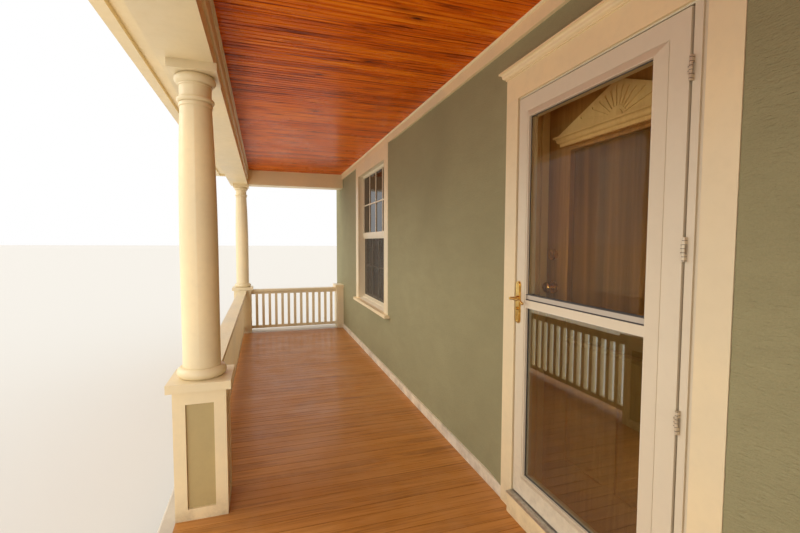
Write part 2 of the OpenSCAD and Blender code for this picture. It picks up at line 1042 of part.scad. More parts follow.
module storm_leaf() {
    color("White")
        on_storm_door() {
            difference() {
                union() {
                    block([-storm_half_width, -storm_front, storm_bottom],
                          [storm_half_width, storm_back, storm_top]);
                    translate([0, -storm_front, 0])
                        raised_field(moulding_half, moulding_low, moulding_high,
                                     moulding_width - 4, moulding_rise);
                }
                block([-glass_half, -storm_front - moulding_rise - 1, lower_glass_bottom],
                      [glass_half, storm_back + 1, lower_glass_top]);
                block([-glass_half, -storm_front - moulding_rise - 1, upper_sash_low],
                      [glass_half, storm_back + 1, upper_glass_top]);
                difference() {
                    block([-moulding_half - score_width, -storm_front - 1, moulding_low - score_width],
                          [moulding_half + score_width, -storm_front + score_depth,
                           moulding_high + score_width]);
                    block([-moulding_half, -storm_front - 2, moulding_low],
                          [moulding_half, storm_back, moulding_high]);
                }
            }
            block([-glass_half, -storm_front - moulding_rise + sash_strip_drop, upper_sash_low],
                  [glass_half, 0, upper_glass_bottom]);
        }
}
storm_leaf();

storm_pane = 4;

module storm_glass() {
    color("LightBlue")
        on_storm_door()
            translate([0, -storm_front - storm_pane, 0]) {
                block([-glass_half, 0, lower_glass_bottom], [glass_half, storm_pane, lower_glass_top]);
                block([-glass_half, 0, upper_glass_bottom], [glass_half, storm_pane, upper_glass_top]);
            }
}
storm_glass();

hinge_end = 190;
storm_hinge_count = 4;
storm_hinge_pitch = (storm_height - 2*hinge_end)/(storm_hinge_count - 1);
storm_hinge_heights = [for (i = [0:storm_hinge_count - 1])
    storm_bottom + hinge_end + i*storm_hinge_pitch];
hinge_length = 77;
inner_hinge_end = 200;
inner_hinge_count = 3;
inner_hinge_pitch = (inner_height - 2*inner_hinge_end)/(inner_hinge_count - 1);
inner_hinge_heights = [for (i = [0:inner_hinge_count - 1])
    inner_bottom + inner_hinge_end + i*inner_hinge_pitch];
inner_hinge_length = 100;

// Middle knuckle of a hinge with its leaf, which turns with the door; the leaf lies seat off the axis
module moving_knuckle(length, seat, leaf_width) {
    knuckle = length*0.4;
    difference() {
        union() {
            translate([0, 0, -knuckle/2])
                cylinder(h = knuckle, r = knuckle_radius);
            block([-leaf_width, seat - hinge_seat, -knuckle/2], [0, seat, knuckle/2]);
        }
        translate([0, 0, -length])
            cylinder(h = 2*length, r = pin_radius + pin_gap);
    }
}

// End knuckles, pin and leaf of a hinge, which stay with the frame
module fixed_knuckles(length, seat, leaf_width) {
    knuckle = length*0.3 - 0.5;
    for (z = [-length/2, length/2 - knuckle])
        translate([0, 0, z]) {
            cylinder(h = knuckle, r = knuckle_radius);
            block([0, min(0, seat), 0], [leaf_width, max(0, seat), knuckle]);
        }
    translate([0, 0, -length/2])
        cylinder(h = length, r = pin_radius);
}

storm_hinge_leaf = 13;
inner_hinge_leaf = 30;

module storm_hinges() {
    color("Silver")
        on_storm_door()
            for (z = storm_hinge_heights)
                translate([storm_axis[0], storm_axis[1], z])
                    moving_knuckle(hinge_length, 2*hinge_seat, storm_hinge_leaf);
}
storm_hinges();

module hinge_pins() {
    color("Silver")
        at_floor() {
            for (z = storm_hinge_heights)
                translate([storm_axis[0], storm_axis[1], z])
                    fixed_knuckles(hinge_length, -frame_lip - storm_axis[1], knuckle_radius - 1);
            for (z = inner_hinge_heights)
                translate([inner_axis[0], inner_axis[1], z])
                    fixed_knuckles(inner_hinge_length, jamb_back - inner_axis[1], inner_hinge_leaf);
        }
}
hinge_pins();

plate_backset = 22;
plate_x = -storm_half_width + plate_backset;
plate_half = 19;
plate_board = 5;
plate_edge = 4;
plate_raised = 5;
plate_front = plate_board + plate_raised;
plate_above = 89;
plate_below = 132;
lever_z = storm_bottom + lever_height;
key_drop = 54;
key_radius = 8;
key_length = 20;
key_slot = 1.5;

// Long plate with round ends, half wide to each side of the lever's middle
module plate_outline(half) {
    translate([-half, -plate_below + plate_half])
        square([2*half, plate_above + plate_below - 2*plate_half]);
    for (z = [-plate_below + plate_half, plate_above - plate_half])
        translate([0, z])
            circle(half);
}

module storm_plate() {
    color("Goldenrod")
        on_storm_door()
            translate([plate_x, -storm_front, lever_z])
                rotate([90, 0, 0]) {
                    linear_extrude(plate_board)
                        plate_outline(plate_half);
                    translate([0, 0, plate_board])
                        linear_extrude(plate_raised)
                            plate_outline(plate_half - plate_edge);
                    translate([0, -key_drop, 0])
                        difference() {
                            cylinder(h = key_length, r = key_radius);
                            translate([-key_slot/2, -key_radius/2, key_length - 3])
                                cube([key_slot, key_radius, 4]);
                        }
                }
}
storm_plate();

rose_radius = 12;
rose_height = 8;
hub_radius = 7.5;
hub_length = 46;
arm_out = 39;
arm_radius = 5.5;
arm_step = 0.6;
arm_straight = 62;
arm_bend = 68;
arm_turn = 38;
tip_radius = 7;

// Lever: a rose and hub, and an arm that bends down to a round tip
module storm_lever() {
    color("Goldenrod")
        on_storm_door()
            translate([plate_x, -storm_front - plate_front - pin_gap, lever_z]) {
                rotate([90, 0, 0]) {
                    cylinder(h = rose_height, r = rose_radius);
                    cylinder(h = hub_length, r = hub_radius);
                }
                translate([0, -arm_out, 0]) {
                    rotate([0, 90, 0])
                        cylinder(h = arm_straight, r1 = arm_radius + 2*arm_step, r2 = arm_radius + arm_step);
                    translate([arm_straight, 0, -arm_bend])
                        rotate([90, 0, 0])
                            rotate([0, 0, 90 - arm_turn]) {
                                rotate_extrude(angle = arm_turn)
                                    translate([arm_bend, 0])
                                        circle(arm_radius);
                                translate([arm_bend, 0, 0])
                                    sphere(tip_radius);
                            }
                }
            }
}
storm_lever();

lite_frame = 25;
lite_frame_rise = 10;
lite_top = inner_top - lite_below_top;
lite_bottom = lite_top - lite_height;
panel_gap = 70;
panel_low_rail = 230;
panel_high_rail = 110;
panel_low = inner_bottom + panel_low_rail;
panel_high = lite_bottom - lite_frame - panel_high_rail;
panel_cut = 9;
panel_margin = 10;
panel_bevel = 30;
panel_outer = lite_half;

// Sunk panel below the glass: the cut into the door's face, and the raised field in it
module lower_panel_cut() {
    block([panel_gap/2, inner_front - 1, panel_low], [panel_outer, inner_front + panel_cut, panel_high]);
}

module lower_panel_field() {
    half = (panel_outer - panel_gap/2)/2 - panel_margin;
    translate([(panel_outer + panel_gap/2)/2, inner_front + panel_cut, 0])
        raised_field(half, panel_low + panel_margin, panel_high - panel_margin,
                     panel_bevel, panel_cut - 2);
}

module inner_leaf() {
    color("SaddleBrown")
        on_inner_door() {
            difference() {
                union() {
                    block([-inner_half_width, inner_front, inner_bottom],
                          [inner_half_width, inner_back, inner_top]);
                    translate([0, inner_front, 0])
                        raised_field(lite_half + lite_frame, lite_bottom - lite_frame,
                                     lite_top + lite_frame, lite_frame/2, lite_frame_rise);
                    block([-lite_half - lite_frame, inner_back, lite_bottom - lite_frame],
                          [lite_half + lite_frame, inner_back + lite_frame_rise, lite_top + lite_frame]);
                }
                block([-lite_half, inner_front - lite_frame_rise - 1, lite_bottom],
                      [lite_half, inner_back + lite_frame_rise + 1, lite_top]);
                both_sides()
                    lower_panel_cut();
            }
            both_sides()
                lower_panel_field();
        }
}
inner_leaf();

inner_pane = 6;

module inner_glass() {
    color("LightBlue")
        on_inner_door()
            translate([0, (inner_front + inner_back - inner_pane)/2, 0])
                block([-lite_half, 0, lite_bottom], [lite_half, inner_pane, lite_top]);
}
inner_glass();

cornice_gap = 3;
cornice_height = 50;
cornice_board = 8;
cornice_reach = 30;
cornice_step = 5;
cornice_lip = 9;
cornice_low = lite_top + lite_frame + cornice_gap;
field_board = 18;
sun_radius = 34;
sun_rise = 5;
ray_start = 48;
ray_margin = 22;
ray_half = 6;
ray_depth = 5;

// Distance from the sun's middle to the sloping edge of the pediment at an angle
function slope_distance(angle) =
    1/(cos(angle)/(pediment_half + cornice_reach) + sin(angle)/pediment_rise);

// One carved ray of the sunburst
module ray(angle) {
    end = slope_distance(min(angle, 180 - angle)) - ray_margin;
    rotate(angle)
        polygon([[ray_start, -ray_half/2], [end - ray_half, -ray_half], [end, 0],
                 [end - ray_half, ray_half], [ray_start, ray_half/2]]);
}

// Pediment over the glass: a cornice, and a triangle carved with half a sun and its rays
module inner_pediment() {
    tip = pediment_half + cornice_reach;
    color("Peru")
        on_inner_door()
            translate([0, inner_front, cornice_low]) {
                mitred_crown(pediment_half, cornice_board, cornice_height,
                             cornice_reach, cornice_step, cornice_lip);
                translate([0, 0, cornice_height])
                    rotate([90, 0, 0]) {
                        difference() {
                            linear_extrude(field_board)
                                polygon([[-tip, 0], [tip, 0], [0, pediment_rise]]);
                            translate([0, 0, field_board - ray_depth])
                                linear_extrude(ray_depth + 1)
                                    for (angle = [15:15:165])
                                        ray(angle);
                        }
                        linear_extrude(field_board + sun_rise)
                            intersection() {
                                circle(sun_radius);
                                translate([-sun_radius, 0])
                                    square([2*sun_radius, sun_radius]);
                            }
                    }
            }
}
inner_pediment();

knob_backset = 60;
knob_height = 1095;
bolt_height = 1265;
rosette_radius = 32;
rosette_height = 8;
knob_neck = 10;
knob_start = 34;
knob_radius = 27;
bolt_radius = 27;
bolt_length = 20;

module inner_hardware() {
    color("Goldenrod")
        on_inner_door() {
            translate([-inner_half_width + knob_backset, inner_front, inner_bottom + knob_height])
                rotate([90, 0, 0]) {
                    cylinder(h = rosette_height, r = rosette_radius);
                    cylinder(h = knob_start + 5, r = knob_neck);
                    translate([0, 0, knob_start])
                        rotate_extrude()
                            intersection() {
                                translate([knob_radius - 12, 12])
                                    circle(12);
                                square([knob_radius, 24]);
                            }
                    translate([0, 0, knob_start])
                        cylinder(h = 24, r = knob_radius - 12);
                }
            translate([-inner_half_width + knob_backset, inner_front, inner_bottom + bolt_height])
                rotate([90, 0, 0])
                    cylinder(h = bolt_length, r = bolt_radius);
            for (z = inner_hinge_heights)
                translate([inner_axis[0] - inner_middle, inner_axis[1], z])
                    mirror([0, 1, 0])
                        moving_knuckle(inner_hinge_length, inner_axis[1] - inner_back, inner_hinge_leaf);
        }
}
inner_hardware();
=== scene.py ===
import math
import random

import bpy
from mathutils import Matrix, Vector


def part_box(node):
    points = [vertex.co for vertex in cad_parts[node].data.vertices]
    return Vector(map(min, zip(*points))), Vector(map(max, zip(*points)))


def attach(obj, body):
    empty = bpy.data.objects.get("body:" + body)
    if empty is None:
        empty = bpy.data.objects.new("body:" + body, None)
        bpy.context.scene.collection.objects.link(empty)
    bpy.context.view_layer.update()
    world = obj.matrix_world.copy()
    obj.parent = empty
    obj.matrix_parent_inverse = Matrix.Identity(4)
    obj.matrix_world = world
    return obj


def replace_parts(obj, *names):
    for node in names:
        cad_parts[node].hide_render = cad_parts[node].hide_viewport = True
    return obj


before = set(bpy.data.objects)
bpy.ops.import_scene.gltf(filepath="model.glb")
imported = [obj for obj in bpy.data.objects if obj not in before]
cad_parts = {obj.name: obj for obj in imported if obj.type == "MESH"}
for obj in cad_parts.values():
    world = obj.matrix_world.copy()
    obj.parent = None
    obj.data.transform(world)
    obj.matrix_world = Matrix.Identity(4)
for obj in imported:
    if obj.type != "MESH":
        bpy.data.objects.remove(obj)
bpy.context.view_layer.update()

# Places in metres that several pieces and looks share
FLOOR = 0.360
WALL_Y = 0.930
WINDOW_AXES = {"left": -3.675, "right": 3.675}
BOARD_PITCH = 0.0825

# The storm door's glass: half its width, the ends of its two panes, and the foot of the painted shade on the
# bar between them
GLASS_HALF = 0.345
LOWER_PANE_TOP = FLOOR + 1.125
UPPER_PANE_FOOT = FLOOR + 1.193
STEP_SHADE_FOOT = FLOOR + 1.165

# The camera stands on the porch and looks along it past the door, as the photograph's does
CAMERA_PLACE = Vector((1.4588, -0.3465, 1.8118))
YAW = math.radians(17.886)
PITCH = math.radians(3.296)
ROLL = math.radians(0.143)
LENS_MM = 18.98
SENSOR_MM = 36.0
NEAREST = 0.02
FARTHEST = 200.0


def put(name, data):
    """New object in the scene."""
    made = bpy.data.objects.new(name, data)
    bpy.context.scene.collection.objects.link(made)
    return made


def photo_camera():
    """Camera with the photograph's place, turn and field of view."""
    forward = Vector((-math.cos(YAW)*math.cos(PITCH), math.sin(YAW)*math.cos(PITCH), -math.sin(PITCH)))
    level = Vector((math.sin(YAW), math.cos(YAW), 0.0))
    above = level.cross(forward)
    right = level*math.cos(ROLL) + above*math.sin(ROLL)
    upward = above*math.cos(ROLL) - level*math.sin(ROLL)
    data = bpy.data.cameras.new("camera")
    data.lens = LENS_MM
    data.sensor_width = SENSOR_MM
    data.clip_start = NEAREST
    data.clip_end = FARTHEST
    made = put("camera", data)
    columns = (right, upward, -forward, CAMERA_PLACE)
    rows = [[column[i] for column in columns] for i in range(3)]
    made.matrix_world = Matrix(rows + [[0, 0, 0, 1]])
    bpy.context.scene.camera = made


photo_camera()
bpy.context.scene.view_settings.view_transform = "Standard"


# Shader building blocks
def linear(red, green, blue):
    """Colour given as 0 to 255 on the screen, as Blender's linear values."""
    out = []
    for c in (red, green, blue):
        c = c/255
        out.append(c/12.92 if c <= 0.04045 else ((c + 0.055)/1.055)**2.4)
    return (*out, 1.0)


def darker(colour, share):
    """Opaque colour with only a share of another's light."""
    return tuple(c*share for c in colour[:3]) + (1.0,)


class Look:
    """One material and the nodes that make it up."""

    def __init__(self, name, colour, rough):
        self.material = bpy.data.materials.new(name)
        self.material.use_nodes = True
        self.tree = self.material.node_tree
        self.shader = self.tree.nodes["Principled BSDF"]
        self.shader.inputs["Base Color"].default_value = colour
        self.shader.inputs["Roughness"].default_value = rough
        self.height = None

    def node(self, kind, **values):
        made = self.tree.nodes.new(kind)
        for key, value in values.items():
            setattr(made, key, value)
        return made

    def wire(self, source, into):
        """Link a socket, or set a plain value."""
        if hasattr(source, "links"):
            self.tree.links.new(source, into)
        else:
            into.default_value = source

    def place(self, scale=(1, 1, 1), turn=(0, 0, 0)):
        """Place on the object in metres, scaled and turned."""
        coord = self.node("ShaderNodeTexCoord")
        mapping = self.node("ShaderNodeMapping")
        mapping.inputs["Scale"].default_value = scale
        mapping.inputs["Rotation"].default_value = turn
        self.tree.links.new(coord.outputs["Object"], mapping.inputs["Vector"])
        return mapping.outputs["Vector"]

    def noise(self, place, scale, detail, rough, distort=0.0):
        """Soft noise from 0 to 1; detail is how many finer layers it has, and rough is their weight."""
        made = self.node("ShaderNodeTexNoise")
        made.inputs["Scale"].default_value = scale
        made.inputs["Detail"].default_value = detail
        made.inputs["Roughness"].default_value = rough
        made.inputs["Distortion"].default_value = distort
        self.tree.links.new(place, made.inputs["Vector"])
        return made.outputs["Fac"]

    def cells(self, place, scale):
        """Distance to the nearest of many scattered points."""
        made = self.node("ShaderNodeTexVoronoi")
        made.inputs["Scale"].default_value = scale
        self.tree.links.new(place, made.inputs["Vector"])
        return made.outputs["Distance"]

    def sums(self, kind, a, b=0.0, clamp=False):
        """One step of arithmetic on sockets or plain values."""
        made = self.node("ShaderNodeMath", operation=kind, use_clamp=clamp)
        self.wire(a, made.inputs[0])
        self.wire(b, made.inputs[1])
        return made.outputs[0]

    def plus(self, a, b, clamp=False):
        return self.sums("ADD", a, b, clamp)

    def times(self, a, b):
        return self.sums("MULTIPLY", a, b)

    def away(self, a, b):
        """How far one value is from another, either way."""
        return self.sums("ABSOLUTE", self.sums("SUBTRACT", a, b))

    def from_middle(self, value, pitch):
        """How far a place is from the middle of its own step, in shares of the pitch up to a half."""
        return self.away(self.sums("FRACT", self.sums("DIVIDE", value, pitch)), 0.5)

    def between(self, value, low, high, out_low=0.0, out_high=1.0):
        """Value turned from the range low to high into the range out_low to out_high, and kept within it."""
        made = self.node("ShaderNodeMapRange")
        self.wire(value, made.inputs["Value"])
        made.inputs["From Min"].default_value = low
        made.inputs["From Max"].default_value = high
        made.inputs["To Min"].default_value = out_low
        made.inputs["To Max"].default_value = out_high
        return made.outputs["Result"]

    def colours(self, value, stops):
        """Colour ramp; each stop is a value and its colour."""
        made = self.node("ShaderNodeValToRGB")
        ramp = made.color_ramp
        while len(ramp.elements) < len(stops):
            ramp.elements.new(0.5)
        for element, (at, colour) in zip(ramp.elements, stops):
            element.position = at
            element.color = colour
        self.wire(value, made.inputs["Fac"])
        return made.outputs["Color"]

    def blend(self, share, a, b):
        """Colour a with a share of colour b; the Mix node's colours are inputs 6 and 7 and output 2."""
        made = self.node("ShaderNodeMix", data_type="RGBA", blend_type="MIX")
        self.wire(share, made.inputs[0])
        self.wire(a, made.inputs[6])
        self.wire(b, made.inputs[7])
        return made.outputs[2]

    def parts(self, place):
        """The place's x, y and z."""
        made = self.node("ShaderNodeSeparateXYZ")
        self.tree.links.new(place, made.inputs[0])
        return made.outputs

    def join(self, x, y, z):
        """A place from its x, y and z."""
        made = self.node("ShaderNodeCombineXYZ")
        for i, value in enumerate((x, y, z)):
            self.wire(value, made.inputs[i])
        return made.outputs[0]

    def chance(self, value):
        """A number from 0 to 1 that is steady for each whole value."""
        made = self.node("ShaderNodeTexWhiteNoise", noise_dimensions="1D")
        self.wire(value, made.inputs["W"])
        return made.outputs["Value"]

    def colour(self, socket):
        self.tree.links.new(socket, self.shader.inputs["Base Color"])

    def rough(self, socket):
        self.tree.links.new(socket, self.shader.inputs["Roughness"])

    def bump(self, height, distance, strength):
        """Relief on top of the relief that is there already."""
        made = self.node("ShaderNodeBump")
        made.inputs["Strength"].default_value = strength
        made.inputs["Distance"].default_value = distance
        self.tree.links.new(height, made.inputs["Height"])
        if self.height is not None:
            self.tree.links.new(self.height, made.inputs["Normal"])
        self.height = made.outputs["Normal"]
        self.tree.links.new(self.height, self.shader.inputs["Normal"])

    def set(self, **values):
        """Plain values on the shader's own sockets, with _ for each space in a name."""
        for key, value in values.items():
            self.shader.inputs[key.replace("_", " ")].default_value = value


# Dirt, in linear colour
GRIME = (0.16, 0.11, 0.065, 1.0)
SOIL = (0.15, 0.12, 0.08, 1.0)
DAMP = (0.12, 0.10, 0.075, 1.0)
DUST = (0.30, 0.24, 0.17, 1.0)
SMUDGES = (0.42, 0.36, 0.28, 1.0)


def painted_wood(name, colour, gloss=0.42, dirt=0.5, brush=(3.0, 3.0, 60.0)):
    """Brushed paint on wood: soft uneven colour, brush marks, small chips, and grime near the floor."""
    grime_reach = 0.16
    look = Look(name, colour, gloss)
    place = look.place()
    broad = look.noise(place, 1.7, 3.0, 0.5)
    fine = look.noise(place, 26.0, 5.0, 0.6)
    warm = (min(1, colour[0]*1.04), colour[1], colour[2]*0.93, 1.0)
    base = look.blend(look.between(broad, 0.35, 0.68), darker(colour, 0.90), warm)
    base = look.blend(look.between(fine, 0.45, 0.80, 0.0, 0.25), base, darker(colour, 0.80))
    near_floor = look.between(look.away(look.parts(place)[2], FLOOR), 0.0, grime_reach, 1.0, 0.0)
    smear = look.between(look.noise(place, 8.0, 6.0, 0.7), 0.38, 0.70)
    base = look.blend(look.times(look.times(near_floor, smear), dirt), base, GRIME)
    chips = look.between(look.noise(place, 55.0, 4.0, 0.7), 0.735, 0.75)
    base = look.blend(look.times(chips, 0.35), base, DUST)
    look.colour(base)
    look.rough(look.between(fine, 0.3, 0.8, gloss - 0.07, gloss + 0.16))
    look.bump(look.noise(look.place(brush), 9.0, 5.0, 0.6), 0.0006, 0.35)
    look.bump(look.noise(place, 120.0, 3.0, 0.6), 0.0004, 0.25)
    return look


def stucco(name, colour, light, dark):
    """Fine sanded stucco with soft patches, splashes at its foot, and trowel strokes beside the door."""
    splash_reach = 0.30
    strokes_start = 0.60
    strokes_full = 0.66
    look = Look(name, colour, 0.85)
    place = look.place()
    x, y, z = look.parts(place)
    broad = look.noise(place, 0.9, 5.0, 0.6, 0.3)
    patch = look.noise(look.place((1.0, 1.0, 2.6)), 4.5, 5.0, 0.6, 0.4)
    grain = look.noise(place, 210.0, 3.0, 0.7)
    base = look.blend(look.between(broad, 0.32, 0.70), dark, light)
    base = look.blend(look.between(patch, 0.40, 0.78, 0.0, 0.55), base, darker(colour, 0.84))
    base = look.blend(look.between(grain, 0.30, 0.75, 0.0, 0.30), base, darker(colour, 0.62))
    foot = look.between(z, FLOOR, FLOOR + splash_reach, 1.0, 0.0)
    splash = look.between(look.noise(place, 7.0, 6.0, 0.7), 0.45, 0.75, 0.0, 0.35)
    look.colour(look.blend(look.times(foot, splash), base, SOIL))
    look.rough(look.between(grain, 0.2, 0.8, 0.72, 0.95))
    strokes = look.noise(look.place((30.0, 1.0, 95.0), (0.0, 0.12, 0.0)), 1.0, 3.0, 0.55, 0.8)
    trowel = look.noise(look.place((1.0, 1.0, 1.6), (0.0, 0.35, 0.0)), 38.0, 5.0, 0.62, 0.9)
    look.bump(look.times(strokes, look.between(x, strokes_start, strokes_full)), 0.007, 0.75)
    look.bump(trowel, 0.0035, 0.55)
    look.bump(look.cells(look.place((1.0, 1.0, 1.4)), 130.0), 0.0016, 0.5)
    look.bump(grain, 0.0012, 0.6)
    return look


def board_wood(name, stops, gloss, coat, shine, contrast, spread, seam, knots=False, worn=None):
    """Varnished boards laid along Y, each with its own tone and grain; stops go from dark to light."""
    darkest = stops[0][1]
    look = Look(name, stops[1][1], gloss)
    place = look.place()
    x, y, z = look.parts(place)
    number = look.sums("FLOOR", look.sums("DIVIDE", x, BOARD_PITCH))
    own = look.chance(number)
    other = look.chance(look.plus(number, 37.3))
    shifted = look.join(look.plus(look.times(x, 34.0), look.times(own, 90.0)),
                        look.plus(look.times(y, 1.5), look.times(other, 40.0)),
                        look.times(z, 6.0))
    rings = look.noise(shifted, 1.0, 6.0, 0.62, 1.2)
    fibre = look.noise(look.join(look.times(x, 420.0), look.times(y, 7.0), z), 1.0, 4.0, 0.6)
    tone = look.plus(look.times(look.sums("SUBTRACT", rings, 0.5), contrast), look.times(own, spread))
    tone = look.plus(tone, look.between(fibre, 0.3, 0.7, -0.06, 0.06))
    base = look.colours(look.plus(tone, 0.5 - spread/2, clamp=True), stops)
    if knots:
        spot = look.cells(look.join(look.plus(look.times(x, 7.0), look.times(own, 11.0)),
                                    look.times(y, 2.6), 0.0), 1.0)
        base = look.blend(look.between(spot, 0.06, 0.28, 0.55, 0.0), base, darkest)
        base = look.blend(look.between(spot, 0.035, 0.10, 1.0, 0.0), base, darker(darkest, 0.35))
    if worn is not None:
        tread = look.noise(look.place((1.0, 1.6, 1.0)), 1.6, 6.0, 0.65, 0.4)
        scuff = look.noise(look.place((9.0, 2.0, 1.0)), 4.0, 6.0, 0.7, 0.8)
        bare = look.plus(look.between(tread, 0.42, 0.66, 0.0, 0.45),
                         look.between(scuff, 0.55, 0.75, 0.0, 0.4), clamp=True)
        base = look.blend(bare, base, worn)
    joint = look.between(look.from_middle(x, BOARD_PITCH), 0.478, 0.494, 0.0, seam)
    look.colour(look.blend(joint, base, darker(darkest, 0.30)))
    look.rough(look.between(look.noise(place, 3.0, 5.0, 0.6), 0.3, 0.7, gloss - 0.06, gloss + 0.14))
    look.set(Coat_Weight=coat, Coat_Roughness=0.12, Specular_IOR_Level=shine)
    look.bump(rings, 0.0006, 0.35)
    look.bump(fibre, 0.0003, 0.3)
    return look


def upright_wood(name, dark, mid, light, gloss, coat):
    """Varnished door wood with its grain upright."""
    look = Look(name, mid, gloss)
    rings = look.noise(look.place((38.0, 38.0, 1.8)), 1.0, 6.0, 0.6, 1.0)
    fibre = look.noise(look.place((260.0, 260.0, 5.0)), 1.0, 4.0, 0.6)
    broad = look.noise(look.place(), 2.2, 3.0, 0.5)
    tone = look.plus(rings, look.between(fibre, 0.3, 0.7, -0.08, 0.08))
    tone = look.plus(tone, look.between(broad, 0.3, 0.7, -0.10, 0.10), clamp=True)
    look.colour(look.colours(tone, [(0.28, dark), (0.50, mid), (0.74, light)]))
    look.rough(look.between(rings, 0.3, 0.7, gloss - 0.05, gloss + 0.12))
    look.set(Coat_Weight=coat, Coat_Roughness=0.15)
    look.bump(rings, 0.0006, 0.3)
    look.bump(fibre, 0.0003, 0.35)
    return look


def coated(name, colour, rough, grain, smudge, shaded_step=None):
    """Factory paint or plastic with smudges and low dust; the last argument, if given, is the foot, top and
    half width of a grey painted shade for a frame step, with dark painted shadow lines at its top and bottom.
    """
    dust_low, dust_high = FLOOR + 0.10, FLOOR + 0.42
    look = Look(name, colour, rough)
    place = look.place()
    x, y, z = look.parts(place)
    broad = look.noise(place, 2.4, 4.0, 0.55)
    film = look.noise(place, 18.0, 6.0, 0.65, 0.4)
    base = look.blend(look.between(broad, 0.35, 0.70, 0.0, 0.7), colour, darker(colour, 0.93))
    base = look.blend(look.between(film, 0.50, 0.85, 0.0, smudge), base, SMUDGES)
    foot = look.between(z, dust_low, dust_high, 0.45, 0.0)
    base = look.blend(look.times(foot, look.between(film, 0.40, 0.80)), base, DUST)
    if shaded_step is not None:
        low, high, half = shaded_step
        rise = (high - low)/2
        soft, line = 0.001, 0.005
        across = look.between(look.sums("ABSOLUTE", x), half, half + soft, 1.0, 0.0)
        height = look.away(z, (low + high)/2)
        step_shade = look.times(across, look.between(height, rise, rise + soft, 1.0, 0.0))
        edge = look.times(step_shade, look.between(height, rise - line, rise - line + 2*soft))
        # Painted shade: grey where the frame's step under the upper pane would be in shade, with dark painted
        # shadow lines along its top and bottom
        base = look.blend(step_shade, base, (0.52, 0.46, 0.37, 1.0))
        base = look.blend(edge, base, (0.06, 0.05, 0.045, 1.0))
    look.colour(base)
    look.rough(look.between(film, 0.3, 0.8, rough - 0.08, rough + 0.18))
    look.bump(look.noise(place, grain, 3.0, 0.6), 0.0003, 0.35)
    look.bump(broad, 0.002, 0.10)
    return look


def metal(name, colour, rough, brush, tarnish, knuckle=None):
    """Brushed or polished metal with tarnished patches; knuckle is the pitch of a hinge barrel's joints."""
    look = Look(name, colour, rough)
    look.set(Metallic=1.0 if knuckle is None else 0.45)
    place = look.place()
    lines = look.noise(look.place(brush), 1.0, 5.0, 0.6)
    spots = look.noise(place, 42.0, 6.0, 0.65, 0.5)
    base = look.blend(look.between(spots, 0.42, 0.76), colour, tarnish)
    if knuckle is not None:
        joint = look.from_middle(look.sums("SUBTRACT", look.parts(place)[2], FLOOR), knuckle)
        base = look.blend(look.between(joint, 0.40, 0.46), base, (0.05, 0.035, 0.02, 1))
    look.colour(base)
    look.rough(look.between(lines, 0.3, 0.7, rough - 0.06, rough + 0.14))
    look.bump(lines, 0.0002, 0.25)
    look.bump(spots, 0.0003, 0.15)
    return look


def concrete(name, colour):
    """Sandy concrete in uneven greys, damp near the ground."""
    damp_reach = 0.12
    look = Look(name, colour, 0.9)
    place = look.place()
    broad = look.noise(place, 1.3, 6.0, 0.65, 0.3)
    sand = look.noise(place, 150.0, 4.0, 0.7)
    base = look.blend(look.between(broad, 0.35, 0.70), darker(colour, 0.72), colour)
    base = look.blend(look.between(sand, 0.35, 0.75, 0.0, 0.35), base, darker(colour, 0.55))
    damp = look.between(look.parts(place)[2], 0.0, damp_reach, 0.55, 0.0)
    look.colour(look.blend(look.times(damp, look.between(broad, 0.3, 0.7)), base, DAMP))
    look.rough(look.between(sand, 0.2, 0.8, 0.8, 0.97))
    look.bump(sand, 0.0015, 0.6)
    look.bump(look.cells(place, 60.0), 0.001, 0.3)
    return look


def shingle_look(name):
    """Mineral granules in mixed greys, with a shade of its own for each tab."""
    stops = [(0.2, (0.066, 0.062, 0.058, 1)), (0.55, (0.085, 0.080, 0.074, 1)),
             (0.9, (0.108, 0.101, 0.093, 1))]
    look = Look(name, (0.06, 0.058, 0.055, 1), 0.95)
    place = look.place()
    x, y, z = look.parts(place)
    column = look.sums("FLOOR", look.times(x, 3.1))
    course = look.sums("FLOOR", look.times(z, 22.0))
    tab = look.chance(look.plus(column, look.times(course, 17.0)))
    granule = look.cells(place, 420.0)
    patch = look.noise(place, 2.0, 5.0, 0.6)
    base = look.colours(look.plus(look.times(tab, 0.5), look.times(patch, 0.5)), stops)
    look.colour(look.blend(look.between(granule, 0.0, 0.6, 0.5, 0.0), base, (0.20, 0.19, 0.175, 1)))
    look.rough(look.between(patch, 0.3, 0.7, 0.88, 1.0))
    look.bump(granule, 0.0012, 0.7)
    return look


def clear_glass(name, index, tint, film):
    """Clear sheet with a faint film of dust that dulls it here and there."""
    look = Look(name, tint, 0.0)
    look.set(Transmission_Weight=1.0, IOR=index)
    place = look.place()
    dust = look.noise(place, 6.0, 6.0, 0.65, 0.3)
    look.rough(look.between(dust, 0.45, 0.85, 0.0, film))
    look.bump(look.noise(place, 1.6, 2.0, 0.4), 0.0006, 0.12)
    return look


def insect_screen(name, dark, light):
    """Fine dark mesh that the sash behind shows through; its weave is finer than a pixel."""
    look = Look(name, dark, 0.75)
    sag = look.noise(look.place(), 3.0, 4.0, 0.6)
    weave = look.noise(look.place((900.0, 1.0, 900.0)), 1.0, 2.0, 0.5)
    look.colour(look.blend(look.between(sag, 0.35, 0.7), dark, light))
    look.rough(look.between(weave, 0.3, 0.7, 0.6, 0.9))
    look.bump(sag, 0.003, 0.2)
    look.wire(look.between(weave, 0.3, 0.7, 0.40, 0.58), look.shader.inputs["Alpha"])
    return look


